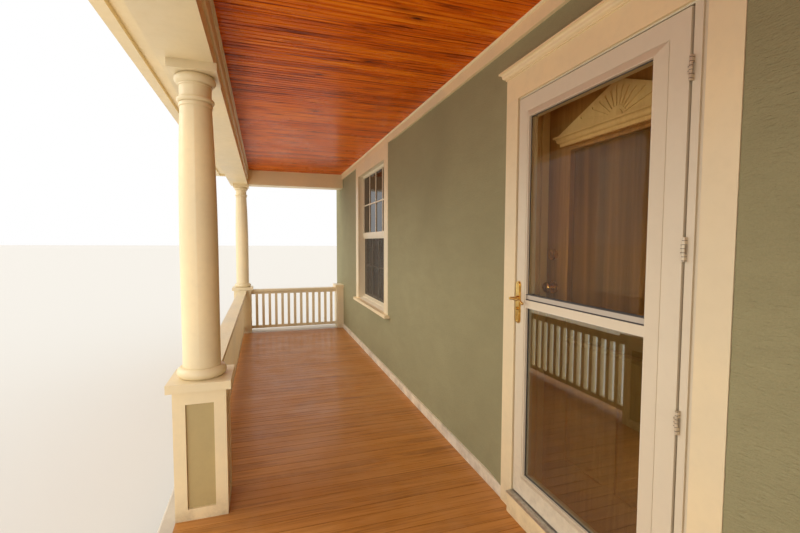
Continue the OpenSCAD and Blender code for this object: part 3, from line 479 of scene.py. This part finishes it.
def room_glass(name, room, lit_fold=None):
    """Opaque glass painted with what lies close behind it: the dark of an unlit room in patches of painted
    shade, or a curtain whose folds are painted lighter as painted light and shade.
    """
    look = Look(name, room, 0.04)
    look.set(IOR=1.28)
    place = look.place()
    shade = look.noise(place, 1.1, 3.0, 0.5, 0.2)
    # Painted shade: darker patches of what lies behind the glass
    base = look.blend(look.between(shade, 0.35, 0.70), darker(room, 0.55), room)
    if lit_fold is not None:
        # Painted light and shade of the curtain's folds: upright stripes of a lighter colour
        wave = look.noise(look.place((18.0, 18.0, 0.4)), 1.0, 3.0, 0.5, 0.5)
        base = look.blend(look.between(wave, 0.34, 0.74), base, lit_fold)
    look.colour(base)
    dust = look.noise(place, 9.0, 6.0, 0.65)
    look.rough(look.between(dust, 0.4, 0.8, 0.03, 0.16))
    look.bump(look.noise(place, 2.4, 2.0, 0.4), 0.001, 0.12)
    return look


# Brush marks along a long board, and around a turned post
ALONG = (3.0, 30.0, 60.0)
AROUND = (14.0, 14.0, 4.0)
WHITE_METAL = linear(222, 210, 184)
FLOOR_STOPS = [(0.18, linear(128, 80, 32)), (0.50, linear(186, 123, 52)), (0.84, linear(208, 148, 78))]
CEILING_STOPS = [(0.20, linear(124, 46, 3)), (0.46, linear(214, 98, 4)), (0.80, linear(246, 142, 22))]
LOOKS = {
    "cream": painted_wood("cream_paint", linear(236, 220, 182)),
    "cream_round": painted_wood("cream_paint_turned", linear(236, 219, 180), brush=AROUND),
    # A little lighter than cream_paint: painted light for the beams, soffit and trim, which the ground lights
    # from below
    "cream_along": painted_wood("cream_paint_boards", linear(240, 222, 180), brush=ALONG),
    "olive_panel": painted_wood("olive_paint", linear(182, 164, 116), gloss=0.5, dirt=0.3),
    "border": painted_wood("grey_floor_paint", linear(206, 196, 182), gloss=0.5, dirt=0.15),
    "step": painted_wood("grey_step_paint", linear(196, 186, 172), gloss=0.5, dirt=0.2),
    "jamb": painted_wood("jamb_paint", linear(242, 214, 160), gloss=0.5, dirt=0.4),
    "base": painted_wood("base_paint", linear(240, 230, 208), gloss=0.45, dirt=0.6, brush=ALONG),
    "stucco": stucco("olive_stucco", linear(153, 147, 108), light=linear(159, 153, 114),
                     dark=linear(144, 138, 101)),
    "floor": board_wood("floor_varnish", FLOOR_STOPS, gloss=0.40, coat=0.10, shine=0.28, contrast=1.05,
                        spread=0.14, seam=0.35, worn=linear(190, 138, 86)),
    "ceiling": board_wood("ceiling_varnish", CEILING_STOPS, gloss=0.26, coat=0.06, shine=0.06,
                          contrast=1.55, spread=0.22, seam=0.55, knots=True),
    "white_metal": coated("white_aluminium", WHITE_METAL, rough=0.40, grain=300.0, smudge=0.10),
    # The leaf carries a painted shade of the frame step under its upper pane
    "leaf_metal": coated("white_aluminium_leaf", WHITE_METAL, rough=0.40, grain=300.0, smudge=0.10,
                         shaded_step=(STEP_SHADE_FOOT, UPPER_PANE_FOOT, GLASS_HALF)),
    "gasket": coated("glazing_gasket", (0.055, 0.05, 0.045, 1), rough=0.55, grain=300.0, smudge=0.25),
    "vinyl": coated("white_vinyl", linear(232, 220, 190), rough=0.38, grain=240.0, smudge=0.10),
    "mill": metal("mill_aluminium", (0.62, 0.60, 0.56, 1), rough=0.32, brush=(3.0, 240.0, 240.0),
                  tarnish=(0.40, 0.37, 0.32, 1)),
    "steel": metal("hinge_steel", (0.70, 0.61, 0.45, 1), rough=0.38, brush=(220.0, 220.0, 6.0),
                   tarnish=(0.36, 0.29, 0.19, 1), knuckle=0.0128),
    "brass": metal("brass", (0.78, 0.53, 0.17, 1), rough=0.20, brush=(90.0, 90.0, 30.0),
                   tarnish=(0.46, 0.28, 0.09, 1)),
    "door_wood": upright_wood("door_wood", linear(156, 116, 68), linear(176, 132, 78),
                              linear(190, 148, 92), gloss=0.45, coat=0.02),
    "carved": upright_wood("carved_wood", linear(236, 208, 160), linear(243, 217, 170),
                           linear(248, 224, 180), gloss=0.5, coat=0.0),
    "roofing": shingle_look("roofing"),
    "concrete": concrete("concrete", (0.40, 0.38, 0.34, 1)),
    "glass_upper": clear_glass("door_glass_upper", index=1.20, tint=(0.98, 0.90, 0.70, 1), film=0.02),
    "glass_lower": clear_glass("door_glass_lower", index=2.60, tint=(0.84, 0.88, 0.68, 1), film=0.03),
    # Opaque glass with painted shade: an unlit room behind the windows, and a curtain with painted light and
    # shade in its folds behind the inner door
    "glass_window": room_glass("window_glass", (0.026, 0.022, 0.014, 1)),
    "glass_inner": room_glass("inner_door_glass", (0.215, 0.108, 0.036, 1), lit_fold=(0.300, 0.158, 0.056, 1)),
    "screen": insect_screen("window_screen", dark=(0.075, 0.060, 0.040, 1), light=(0.115, 0.094, 0.064, 1)),
}

# The porch's own nodes that wear each look
WEARERS = {
    "concrete": ["foundation", "house_base"],
    "floor": ["floor_deck"],
    "border": ["floor_border"],
    "step": ["step_base", "step_tread"],
    "cream": ["pedestals", "pedestal_caps", "wall_pedestals", "railing_front", "railing_end",
              "window_casings", "door_casing"],
    "cream_round": ["column_bases", "column_shafts", "column_capitals"],
    "cream_along": ["beams", "beam_crown", "ceiling_trim", "eave_soffit", "fascia", "window_sills",
                    "door_head", "door_sill"],
    "olive_panel": ["pedestal_panels"],
    "ceiling": ["ceiling"],
    "base": ["base_trim"],
    "roofing": ["roof"],
    "stucco": ["wall_left", "wall_right", "wall_over_door"],
    "vinyl": ["window_sashes"],
    "glass_window": ["window_glass"],
    "mill": ["threshold"],
    "jamb": ["door_jamb"],
    "white_metal": ["storm_frame"],
    "leaf_metal": ["storm_leaf"],
    "glass_lower": ["storm_glass"],
    "steel": ["storm_hinges", "hinge_pins"],
    "brass": ["storm_plate", "storm_lever", "inner_hardware"],
    "door_wood": ["inner_leaf"],
    "glass_inner": ["inner_glass"],
    "carved": ["inner_pediment"],
}
for look_name, node_names in WEARERS.items():
    for node_name in node_names:
        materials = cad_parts[node_name].data.materials
        materials.clear()
        materials.append(LOOKS[look_name].material)

# Wood and sheet edges are never razor sharp, so these nodes get a small rounding, by its width
EASED = {
    0.001: ["storm_frame"],
    0.0015: ["pedestals", "wall_pedestals", "railing_front", "railing_end"],
    0.002: ["window_casings", "door_casing", "step_base", "fascia"],
    0.003: ["pedestal_caps", "window_sills", "beams"],
}
SHARP_ANGLE = math.radians(50)
for width, node_names in EASED.items():
    for node_name in node_names:
        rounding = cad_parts[node_name].modifiers.new("eased", "BEVEL")
        rounding.width = width
        rounding.segments = 2
        rounding.limit_method = "ANGLE"
        rounding.angle_limit = SHARP_ANGLE


def mesh_piece(name, points, faces, look, body):
    """New mesh object that rides on a body."""
    mesh = bpy.data.meshes.new(name)
    mesh.from_pydata([tuple(p) for p in points], [], faces)
    mesh.validate()
    mesh.update()
    mesh.materials.append(LOOKS[look].material)
    made = put(name, mesh)
    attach(made, body)
    return made


def smooth(faces):
    """Shade these faces as one rounded surface."""
    for face in faces:
        face.use_smooth = True


# Profiles of one board across its pitch: share of the pitch, and depth under the face
BEADED = [(0.0, 0.0040), (0.025, 0.0006), (0.06, 0.0), (0.44, 0.0), (0.455, 0.0026), (0.475, 0.0012),
          (0.50, 0.0003), (0.525, 0.0012), (0.545, 0.0026), (0.56, 0.0), (0.90, 0.0), (0.915, 0.0026),
          (0.935, 0.0012), (0.96, 0.0003), (0.985, 0.0012)]
JOINTED = [(0.0, 0.0035), (0.006, 0.0032), (0.014, 0.0006), (0.03, 0.0), (0.97, 0.0), (0.986, 0.0006),
           (0.994, 0.0032)]


def boards(name, node, upward, profile, look):
    """Boards side by side along X, in place of a flat node, with their faces upward or downward."""
    low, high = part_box(node)
    face_z, back_z = (high[2], low[2]) if upward else (low[2], high[2])
    outward = 1.0 if upward else -1.0
    line = [(low[0], face_z)]
    for board in range(math.floor(low[0]/BOARD_PITCH), math.ceil(high[0]/BOARD_PITCH)):
        for share, depth in profile:
            x = (board + share)*BOARD_PITCH
            if low[0] < x < high[0]:
                line.append((x, face_z - outward*depth))
    line.append((high[0], face_z))
    points, faces = [], []
    for x, z in line:
        points += [(x, low[1], z), (x, high[1], z), (x, low[1], back_z), (x, high[1], back_z)]
    for i in range(len(line) - 1):
        a, b = 4*i, 4*(i + 1)
        faces += [(a, b, b + 1, a + 1), (a + 2, a + 3, b + 3, b + 2),
                  (a, a + 2, b + 2, b), (a + 1, b + 1, b + 3, a + 3)]
    last = len(points) - 4
    faces += [(0, 1, 3, 2), (last, last + 2, last + 3, last + 1)]
    if not upward:
        faces = [quad[::-1] for quad in faces]
    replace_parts(mesh_piece(name, points, faces, look, "porch"), node)


boards("ceiling_boards", "ceiling", False, BEADED, "ceiling")
boards("floor_boards", "floor_deck", True, JOINTED, "floor")


def ground_sheet(name, low, high, ease, look, body):
    """Sheet in the XZ plane whose edges are ground to a small slope on both faces."""
    points, faces = [], []
    for y, inset in [(low[1], ease), (low[1] + ease, 0.0), (high[1] - ease, 0.0), (high[1], ease)]:
        points += [(low[0] + inset, y, low[2] + inset), (high[0] - inset, y, low[2] + inset),
                   (high[0] - inset, y, high[2] - inset), (low[0] + inset, y, high[2] - inset)]
    for level in range(3):
        for k in range(4):
            a, b = 4*level + k, 4*level + (k + 1) % 4
            faces.append((a + 4, b + 4, b, a))
    faces += [(0, 1, 2, 3), (15, 14, 13, 12)]
    return mesh_piece(name, points, faces, look, body)


# Glass of the storm door: a lower and an upper pane
GROUND_EDGE = 0.0012
glass_low, glass_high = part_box("storm_glass")
PANES = {"lower": (glass_low[2], LOWER_PANE_TOP), "upper": (UPPER_PANE_FOOT, glass_high[2])}
for label, (foot, top) in PANES.items():
    pane = ground_sheet("storm_pane_" + label, (glass_low[0], glass_low[1], foot),
                        (glass_high[0], glass_high[1], top), GROUND_EDGE,
                        "glass_" + label, "storm_door")
    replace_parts(pane, "storm_glass")


def shingles():
    """Shingles in courses over the roof's front slope and its two hip ends."""
    roof_low, roof_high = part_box("roof")
    reach = WALL_Y - roof_low[1]
    half = roof_high[0]
    eave_y = WALL_Y - reach
    eave_z = roof_low[2] + 0.060
    slope = 0.333
    exposure, tab, gap = 0.134, 0.31, 0.004
    butt_rise, top_rise, sunk = 0.007, 0.001, 0.002
    stagger = 0.02
    shortest, narrowest = 0.02, 0.01
    chance = random.Random(7)
    points, faces = [], []

    def wedge(corners):
        """Shingle from its two butt corners and its two top corners, as (x, y, height under it)."""
        s = len(points)
        for (x, y, z), rise in zip(corners, (butt_rise, butt_rise, top_rise, top_rise)):
            points.append((x, y, z + rise))
        for x, y, z in corners:
            points.append((x, y, z - sunk))
        faces.extend([(s, s + 1, s + 2, s + 3), (s + 4, s + 7, s + 6, s + 5),
                      (s, s + 4, s + 5, s + 1), (s + 1, s + 5, s + 6, s + 2),
                      (s + 2, s + 6, s + 7, s + 3), (s + 3, s + 7, s + 4, s)])

    def tabs(start, length):
        """Each tab's run up the slope and its two ends; every second course moves by half a tab."""
        for row in range(int(reach/exposure) + 1):
            near = row*exposure
            far = min(reach, near + exposure)
            if far - near < shortest:
                continue
            offset = (row % 2)*tab/2 + chance.uniform(-stagger, stagger)
            for k in range(-1, int(length/tab) + 2):
                first = start + k*tab + offset + gap/2
                yield near, far, first, first + tab - gap

    def cut(first, last, near_span, far_span):
        """Ends of a tab's butt and of its top, cut off at the slope's own edges."""
        butt = [max(first, near_span[0]), min(last, near_span[1])]
        top = [max(first, far_span[0]), min(last, far_span[1])]
        if top[1] < top[0]:
            middle = max(far_span[0], min(far_span[1], (butt[0] + butt[1])/2))
            top = [middle, middle]
        return butt, top

    for near, far, first, last in tabs(-half, 2*half):
        butt, top = cut(first, last, (near - half, half - near), (far - half, half - far))
        if butt[1] - butt[0] < narrowest:
            continue
        near_y, near_z = eave_y + near, eave_z + near*slope
        far_y, far_z = eave_y + far, eave_z + far*slope
        wedge([(butt[0], near_y, near_z), (butt[1], near_y, near_z),
               (top[1], far_y, far_z), (top[0], far_y, far_z)])
    for side in (-1, 1):
        for near, far, first, last in tabs(eave_y, reach):
            butt, top = cut(first, last, (eave_y + near, WALL_Y), (eave_y + far, WALL_Y))
            if butt[1] - butt[0] < narrowest:
                continue
            near_x, near_z = side*(half - near), eave_z + near*slope
            far_x, far_z = side*(half - far), eave_z + far*slope
            butt, top = butt[::side], top[::side]
            wedge([(near_x, butt[0], near_z), (near_x, butt[1], near_z),
                   (far_x, top[1], far_z), (far_x, top[0], far_z)])
    mesh_piece("roof_shingles", points, faces, "roofing", "porch")


shingles()


def plate_screws():
    """Two domed screw heads with turned slots, one near each end of the handle's plate."""
    low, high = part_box("storm_plate")
    plate_face = WALL_Y - 0.022
    from_end = 0.012
    radius = 0.0042
    dome, slot_depth, middle_rise = 0.42*radius, 0.22*radius, 0.18*radius
    sides = 14
    # Share of the radius, and share of the dome's height
    levels = [(1.0, 0.0), (0.94, 0.35), (0.72, 0.70), (0.40, 0.92)]
    slot_reach, slot_half = 0.75, 0.30
    outward = Vector((0, -1, 0))
    side = outward.orthogonal().normalized()
    other = outward.cross(side)
    points, faces = [], []
    for z, turn in ((high[2] - from_end, 0.5), (low[2] + from_end, 1.1)):
        at = Vector(((low[0] + high[0])/2, plate_face, z))
        start = len(points)
        for share, rise in levels:
            for k in range(sides):
                angle = 2*math.pi*k/sides + turn
                lift = rise*dome
                if share < slot_reach and abs(math.sin(angle - turn)) < slot_half:
                    lift -= slot_depth
                across = side*math.cos(angle) + other*math.sin(angle)
                points.append(at + across*radius*share + outward*lift)
        points.append(at + outward*middle_rise)
        last = start + (len(levels) - 1)*sides
        for first in range(start, last, sides):
            for k in range(sides):
                a, b = first + k, first + (k + 1) % sides
                faces.append((a, b, b + sides, a + sides))
        for k in range(sides):
            faces.append((last + k, last + (k + 1) % sides, last + sides))
    made = mesh_piece("plate_screws", points, faces, "brass", "storm_door")
    smooth(made.data.polygons)


plate_screws()


def ring(name, low, high, rim, look, body):
    """Flat frame with mitred corners in the XZ plane; rim is how wide its bars are."""
    points, faces = [], []
    for y in (low[1], high[1]):
        for inset in (0.0, rim):
            points += [(low[0] + inset, y, low[2] + inset), (high[0] - inset, y, low[2] + inset),
                       (high[0] - inset, y, high[2] - inset), (low[0] + inset, y, high[2] - inset)]
    for k in range(4):
        n = (k + 1) % 4
        faces += [(k, n, 4 + n, 4 + k), (8 + k, 12 + k, 12 + n, 8 + n),
                  (k, 8 + k, 8 + n, n), (4 + k, 4 + n, 12 + n, 12 + k)]
    mesh_piece(name, points, faces, look, body)


# Black gaskets that hold the storm door's two panes
GASKET = 0.0035
for label, (foot, top) in PANES.items():
    ring("pane_gasket_" + label, (glass_low[0], glass_low[1] - GASKET, foot),
         (glass_high[0], glass_low[1], top), GASKET, "gasket", "storm_door")

# Insect screens in front of the windows' lower sashes, each a mesh let into a thin frame
SCREEN_HALF = 0.646
SCREEN_RIM = 0.016
SCREEN_LOW = FLOOR + 0.713
SCREEN_HIGH = FLOOR + 1.515
SCREEN_FACE = WALL_Y + 0.064
SCREEN_DEPTH = 0.010
MESH_LET_IN = SCREEN_RIM - 0.004
MESH_THICKNESS = 0.001
MESH_EDGE = 0.0002
for label, axis_x in WINDOW_AXES.items():
    ring(label + "_screen_rim", (axis_x - SCREEN_HALF, SCREEN_FACE, SCREEN_LOW),
         (axis_x + SCREEN_HALF, SCREEN_FACE + SCREEN_DEPTH, SCREEN_HIGH), SCREEN_RIM,
         "vinyl", "porch")
    mesh_half = SCREEN_HALF - MESH_LET_IN
    mesh_face = SCREEN_FACE + (SCREEN_DEPTH - MESH_THICKNESS)/2
    ground_sheet(label + "_screen_mesh", (axis_x - mesh_half, mesh_face, SCREEN_LOW + MESH_LET_IN),
                 (axis_x + mesh_half, mesh_face + MESH_THICKNESS, SCREEN_HIGH - MESH_LET_IN), MESH_EDGE,
                 "screen", "porch")


def stucco_edges():
    """Stucco that runs up to the casings' faces, with an uneven edge against the wood."""
    casing_low, casing_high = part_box("door_casing")
    window_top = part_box("window_casings")[1]
    base_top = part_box("base_trim")[1][2]
    sill_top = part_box("window_sills")[1][2]
    below_face = 0.001
    proud = WALL_Y - casing_low[1] - below_face
    frieze = 0.118
    head = casing_high[2] + frieze
    reach, row_height, end_gap = 0.24, 0.018, 0.001
    back_depth, sunk = 0.004, 0.0002
    gap_least, gap_spread, waviness = 0.0008, 0.0016, 0.0003
    least_drop, most_drop = 0.0010, 0.0028
    # Shares of the reach, from the casing outward
    shares = [0.0, 0.03, 0.08, 0.16, 0.28, 0.42, 0.58, 0.76, 1.0]
    width = len(shares)
    chance = random.Random(11)
    strips = [(casing_low[0], -1, base_top, head), (casing_high[0], 1, base_top, head)]
    window_half = window_top[0] - WINDOW_AXES["right"]
    for axis_x in WINDOW_AXES.values():
        for side in (-1, 1):
            strips.append((axis_x + side*window_half, side, sill_top, window_top[2]))
    points, fronts, closing = [], [], []
    for edge, side, z_low, z_high in strips:
        rows = int((z_high - z_low)/row_height)
        start = len(points)
        for row in range(rows + 1):
            z = z_low + end_gap + (z_high - z_low - 2*end_gap)*row/rows
            ragged = gap_least + chance.uniform(0.0, gap_spread)
            xs = [edge + side*(ragged*(1.0 - share) + reach*share) for share in shares]
            for x, share in zip(xs, shares):
                rise = (proud + sunk)*(1.0 - share)*(1.0 - share) - sunk
                if 0.0 < share < 1.0:
                    rise += chance.uniform(-waviness, waviness)*(1.0 - share)
                if share == 0.0:
                    rise -= chance.uniform(least_drop, most_drop)
                points.append((x, WALL_Y - rise, z))
            points += [(x, WALL_Y + back_depth, z) for x in xs]
        for row in range(rows):
            first = start + row*2*width
            for a in range(first, first + width - 1):
                c = a + 2*width
                fronts.append((a, a + 1, c + 1, c)[::side])
                closing.append((a + width, c + width, c + width + 1, a + width + 1)[::side])
            a, b = first, first + width - 1
            closing.append((a, a + 2*width, a + 3*width, a + width)[::side])
            closing.append((b, b + width, b + 3*width, b + 2*width)[::side])
        for first, turn in ((start, side), (start + rows*2*width, -side)):
            for a in range(first, first + width - 1):
                closing.append((a, a + width, a + width + 1, a + 1)[::turn])
    # The closing faces have points of their own, so that they don't bend the front's shading
    count = len(points)
    closing = [tuple(index + count for index in quad) for quad in closing]
    made = mesh_piece("stucco_edges", points + points, fronts + closing, "stucco", "porch")
    smooth(made.data.polygons[:len(fronts)])


stucco_edges()

# Plain pale floor of the studio
STAGE_HALF = 400.0
STAGE_Z = -0.002
STAGE_TURNS = [(-1, -1), (1, -1), (1, 1), (-1, 1)]
stage_mesh = bpy.data.meshes.new("stage_floor")
stage_mesh.from_pydata([(x*STAGE_HALF, y*STAGE_HALF, STAGE_Z) for x, y in STAGE_TURNS], [], [(0, 1, 2, 3)])
stage_mesh.materials.append(Look("stage_floor", linear(226, 224, 220), 0.9).material)
put("stage_floor", stage_mesh)


def studio_world(strength_on_object, tint_on_object):
    """White behind the object and in its reflections, and a little weaker and warmer as light on it."""
    world = bpy.data.worlds.new("studio")
    bpy.context.scene.world = world
    world.use_nodes = True
    tree = world.node_tree
    back = tree.nodes["Background"]
    rays = tree.nodes.new("ShaderNodeLightPath")
    seen = rays.outputs["Is Camera Ray"]
    for kind in ("Is Glossy Ray", "Is Transmission Ray"):
        either = tree.nodes.new("ShaderNodeMath")
        either.operation = "MAXIMUM"
        tree.links.new(seen, either.inputs[0])
        tree.links.new(rays.outputs[kind], either.inputs[1])
        seen = either.outputs[0]
    strength = tree.nodes.new("ShaderNodeMapRange")
    strength.inputs["To Min"].default_value = strength_on_object
    strength.inputs["To Max"].default_value = 1.0
    tree.links.new(seen, strength.inputs["Value"])
    tree.links.new(strength.outputs["Result"], back.inputs["Strength"])
    tint = tree.nodes.new("ShaderNodeMix")
    tint.data_type = "RGBA"
    tint.inputs["A"].default_value = tint_on_object
    tint.inputs["B"].default_value = (1.0, 1.0, 1.0, 1.0)
    tree.links.new(seen, tint.inputs["Factor"])
    tree.links.new(tint.outputs["Result"], back.inputs["Color"])


def soft_sun(name, towards_lamp, spread, power, colour):
    """Wide, even light from one side, without a pool of its own on the floor."""
    data = bpy.data.lights.new(name, "SUN")
    data.angle = math.radians(spread)
    data.energy = power
    data.color = colour
    made = put(name, data)
    made.rotation_euler = Vector(towards_lamp).to_track_quat("Z", "Y").to_euler()


def bounce_light(name, at, size, power, colour):
    """Light from the ground straight up, as a bright yard throws it; only its effect is seen."""
    data = bpy.data.lights.new(name, "AREA")
    data.shape = "RECTANGLE"
    data.size, data.size_y = size
    data.energy = power
    data.color = colour
    made = put(name, data)
    made.location = at
    made.rotation_euler = Vector((0, 0, 1)).to_track_quat("-Z", "Y").to_euler()
    made.visible_camera = False
    made.visible_glossy = False
    made.visible_transmission = False


studio_world(strength_on_object=0.90, tint_on_object=(1.0, 0.975, 0.93, 1.0))
soft_sun("key", (-1.6, -6.3, 3.6), spread=38.0, power=1.30, colour=(1.0, 0.95, 0.88))
soft_sun("fill", (8.0, -2.0, 1.8), spread=44.0, power=1.45, colour=(1.0, 0.96, 0.90))
bounce_light("bounce", (-0.6, -2.3, 0.05), size=(9.0, 1.8), power=62.0, colour=(1.0, 0.95, 0.86))
